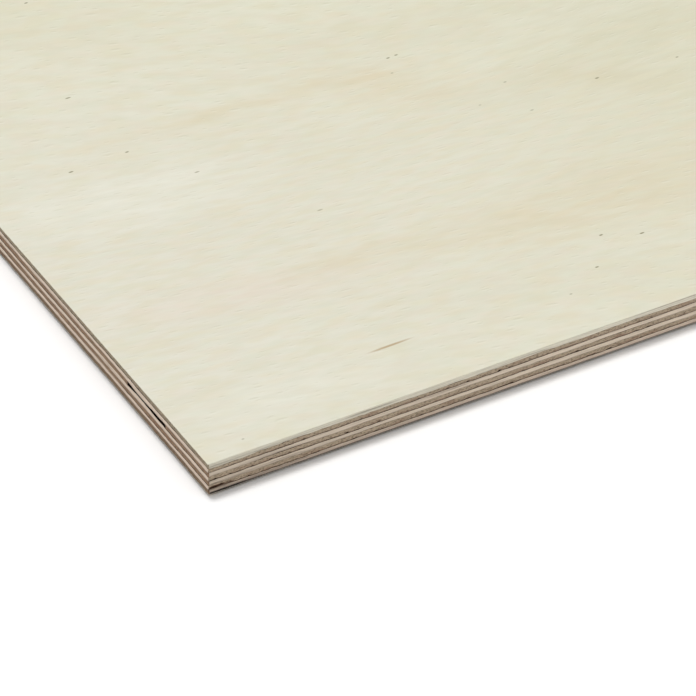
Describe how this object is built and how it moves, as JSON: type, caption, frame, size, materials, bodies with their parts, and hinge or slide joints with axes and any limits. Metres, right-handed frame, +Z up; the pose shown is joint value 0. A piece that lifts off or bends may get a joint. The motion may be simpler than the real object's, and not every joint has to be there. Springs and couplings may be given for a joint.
{
  "type": "plywood sheet",
  "caption": "Flat rectangular plywood panel of crossed hardwood veneers, with a sanded pale face, sawn edges that show the plies, and a small core gap in a short edge.",
  "frame": {"origin": "centre of the underside, on the surface that the sheet lies on", "axes": "+X along the sheet's length and face grain, +Y across its width, +Z up through its thickness to the good face"},
  "size_m": [1.2, 0.6, 0.009],
  "materials": {
    "face_veneer": "sanded, unfinished pale hardwood veneer",
    "back_veneer": "sanded, unfinished hardwood back veneer",
    "crossband_veneer": "unfinished, sawn edge",
    "core_veneer": "unfinished, sawn edge"
  },
  "bodies": {
    "root": {"face_ply": "face_veneer", "upper_crossband": "crossband_veneer", "upper_core_ply": "core_veneer", "centre_crossband": "crossband_veneer", "lower_core_ply": "core_veneer", "lower_crossband": "crossband_veneer", "back_ply": "back_veneer"}
  },
  "joints": []
}
